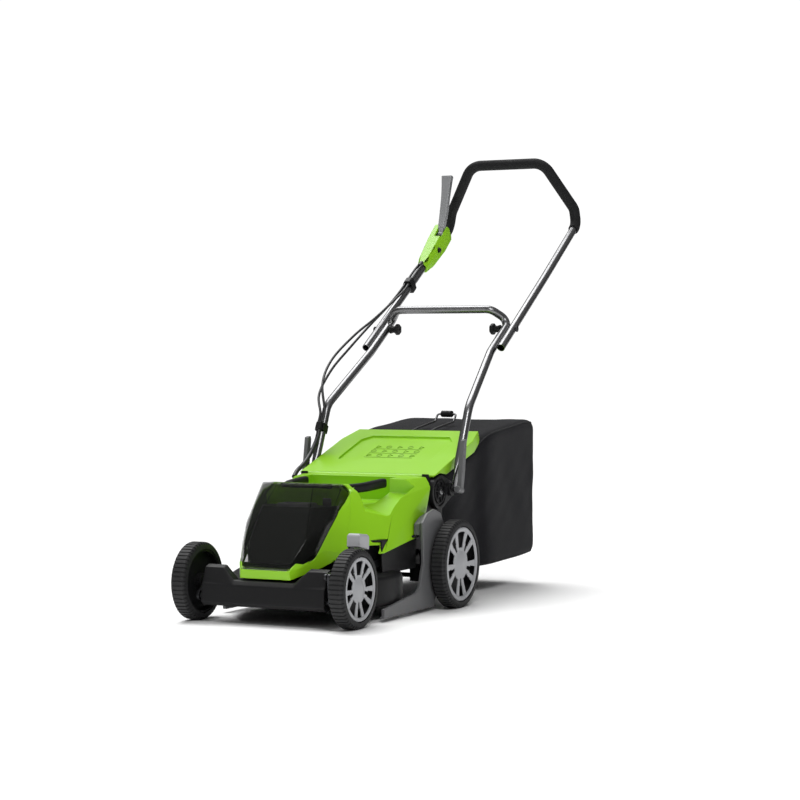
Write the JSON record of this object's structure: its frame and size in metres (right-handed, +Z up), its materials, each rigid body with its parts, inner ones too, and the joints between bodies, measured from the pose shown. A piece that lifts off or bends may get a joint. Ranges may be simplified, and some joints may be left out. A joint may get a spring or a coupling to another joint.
{
  "type": "push lawn mower",
  "caption": "Battery push lawn mower: moulded deck and cowl, smoked battery hood, rear discharge flap, fabric grass bag, folding steel handle with a foam grip, ribbed tyres.",
  "frame": {"origin": "on the floor, under the middle of the whole mower's box", "axes": "+Z up, the mower's front faces -Y, +X is to the right of someone who looks along +Y from the front"},
  "size_m": [0.458, 1.3004, 1.0328],
  "materials": {
    "lime_plastic": "gloss moulded plastic",
    "black_plastic": "fine grained moulded plastic",
    "charcoal_plastic": "satin moulded plastic",
    "grey_plastic": "satin moulded plastic",
    "smoked_plastic": "clear smoked plastic",
    "rubber": "matt rubber",
    "tyre": "matt ribbed tread",
    "foam": "fine foam rubber",
    "steel": "drawn and plated",
    "dark_steel": "black coated",
    "lever_metal": "satin pressed sheet",
    "fabric": "woven cloth"
  },
  "bodies": {
    "deck": {"deck_shell": "black_plastic", "front_bumper": "black_plastic", "side_skirt_left": "charcoal_plastic", "side_skirt_right": "charcoal_plastic", "cowl": "lime_plastic", "battery_bay": "black_plastic", "carry_handle": "black_plastic", "motor_can": "dark_steel", "handle_bracket_left": "black_plastic", "handle_bracket_right": "black_plastic", "pivot_bolt_left": "steel", "pivot_bolt_right": "steel", "cable_sleeve_lower": "rubber"},
    "front_axle": {"front_axle": "dark_steel", "height_knob": "grey_plastic"},
    "rear_axle": {"rear_axle": "dark_steel"},
    "link": {"link_rod": "dark_steel"},
    "blade_rotor": {"blade": "steel", "blade_carrier": "black_plastic", "blade_bolt": "dark_steel", "motor_shaft": "steel"},
    "hood": {"hood": "smoked_plastic"},
    "battery": {"battery_pack": "charcoal_plastic"},
    "key": {"safety_key": "charcoal_plastic"},
    "flap": {"rear_flap": "lime_plastic"},
    "bag": {"bag_fabric": "fabric", "bag_frame": "black_plastic", "bag_wire": "steel", "bag_grip": "black_plastic"},
    "lower_handle": {"lower_tube": "steel", "cable_clip_lower": "black_plastic", "cable_outer_middle": "rubber", "cable_inner_middle": "rubber"},
    "upper_handle": {"upper_tube": "steel", "grip_foam": "foam", "switch_box": "lime_plastic", "cable_clip_upper": "black_plastic", "cable_outer_upper": "rubber", "cable_inner_upper": "rubber", "clamp_bolt_left": "dark_steel", "clamp_bolt_right": "dark_steel"},
    "clamp_knob_left": {"clamp_knob_left": "black_plastic"},
    "clamp_knob_right": {"clamp_knob_right": "black_plastic"},
    "cam_lever_left": {"cam_lever_left": "charcoal_plastic"},
    "cam_lever_right": {"cam_lever_right": "charcoal_plastic"},
    "bail": {"bail_lever": "lever_metal"},
    "lock_button": {"lock_button": "black_plastic"},
    "wheel_front_left": {"tyre_front_left": "tyre", "wheel_front_left": "black_plastic", "hub_cap_front_left": "grey_plastic"},
    "wheel_front_right": {"tyre_front_right": "tyre", "wheel_front_right": "black_plastic", "hub_cap_front_right": "grey_plastic"},
    "wheel_rear_left": {"tyre_rear_left": "tyre", "wheel_rear_left": "black_plastic", "hub_cap_rear_left": "grey_plastic"},
    "wheel_rear_right": {"tyre_rear_right": "tyre", "wheel_rear_right": "black_plastic", "hub_cap_rear_right": "grey_plastic"}
  },
  "joints": [
    {"name": "height_adjust", "type": "hinge", "parent": "deck", "child": "front_axle", "pos_m": [0, -0.60718, 0.055], "axis": [-1, 0, 0], "range_deg": [0, 26]},
    {"name": "rear_height", "type": "hinge", "parent": "deck", "child": "rear_axle", "pos_m": [0, -0.19118, 0.07], "axis": [-1, 0, 0], "range_deg": [0, 26]},
    {"name": "link_swing", "type": "hinge", "parent": "front_axle", "child": "link", "pos_m": [0.1455, -0.61621, 0.10621], "axis": [-1, 0, 0], "range_deg": [-26, 0]},
    {"name": "wheel_spin_front_left", "type": "hinge", "parent": "front_axle", "child": "wheel_front_left", "pos_m": [-0.1815, -0.57018, 0.08], "axis": [1, 0, 0], "continuous": true},
    {"name": "wheel_spin_front_right", "type": "hinge", "parent": "front_axle", "child": "wheel_front_right", "pos_m": [0.1815, -0.57018, 0.08], "axis": [1, 0, 0], "continuous": true},
    {"name": "wheel_spin_rear_left", "type": "hinge", "parent": "rear_axle", "child": "wheel_rear_left", "pos_m": [-0.2115, -0.15418, 0.095], "axis": [1, 0, 0], "continuous": true},
    {"name": "wheel_spin_rear_right", "type": "hinge", "parent": "rear_axle", "child": "wheel_rear_right", "pos_m": [0.2115, -0.15418, 0.095], "axis": [1, 0, 0], "continuous": true},
    {"name": "blade_spin", "type": "hinge", "parent": "deck", "child": "blade_rotor", "pos_m": [0, -0.38918, 0.048], "axis": [0, 0, 1], "continuous": true},
    {"name": "hood_open", "type": "hinge", "parent": "deck", "child": "hood", "pos_m": [0, -0.43318, 0.272], "axis": [-1, 0, 0], "range_deg": [0, 70]},
    {"name": "battery_eject", "type": "slide", "parent": "deck", "child": "battery", "axis": [0, 0, 1], "range_m": [0, 0.012]},
    {"name": "key_pull", "type": "slide", "parent": "deck", "child": "key", "axis": [0, 0, 1], "range_m": [0, 0.01]},
    {"name": "flap_open", "type": "hinge", "parent": "deck", "child": "flap", "pos_m": [0, -0.16618, 0.28], "axis": [1, 0, 0], "range_deg": [0, 60], "stiffness_Nm_per_rad": 0.6},
    {"name": "bag_remove", "type": "slide", "parent": "deck", "child": "bag", "axis": [0, 0.9397, 0.342], "range_m": [0, 0.35]},
    {"name": "lower_fold", "type": "hinge", "parent": "deck", "child": "lower_handle", "pos_m": [0, -0.09218, 0.25], "axis": [-1, 0, 0], "range_deg": [-100, 0], "deforming": ["cable_sleeve_lower"]},
    {"name": "upper_fold", "type": "hinge", "parent": "lower_handle", "child": "upper_handle", "pos_m": [0, 0.23982, 0.604], "axis": [1, 0, 0], "range_deg": [0, 150], "deforming": ["cable_outer_middle", "cable_inner_middle"]},
    {"name": "bail_squeeze", "type": "hinge", "parent": "upper_handle", "child": "bail", "pos_m": [-0.166, 0.57164, 0.84829], "axis": [-1, 0, 0], "range_deg": [0, 8], "stiffness_Nm_per_rad": 2},
    {"name": "lock_press", "type": "slide", "parent": "upper_handle", "child": "lock_button", "axis": [-1, 0, 0], "range_m": [0, 0.003], "stiffness_N_per_m": 200},
    {"name": "clamp_turn_left", "type": "hinge", "parent": "upper_handle", "child": "clamp_knob_left", "pos_m": [-0.131, 0.23982, 0.604], "axis": [1, 0, 0], "continuous": true},
    {"name": "cam_open_left", "type": "hinge", "parent": "deck", "child": "cam_lever_left", "pos_m": [-0.191, -0.09218, 0.25], "axis": [0, -0.9888, 0.149], "range_deg": [0, 105]},
    {"name": "clamp_turn_right", "type": "hinge", "parent": "upper_handle", "child": "clamp_knob_right", "pos_m": [0.131, 0.23982, 0.604], "axis": [1, 0, 0], "continuous": true},
    {"name": "cam_open_right", "type": "hinge", "parent": "deck", "child": "cam_lever_right", "pos_m": [0.191, -0.09218, 0.25], "axis": [0, 0.9888, -0.149], "range_deg": [0, 105]}
  ],
  "couplings": [
    {"joint": "rear_height", "follows": "height_adjust", "ratio": 1},
    {"joint": "link_swing", "follows": "height_adjust", "ratio": -1}
  ]
}
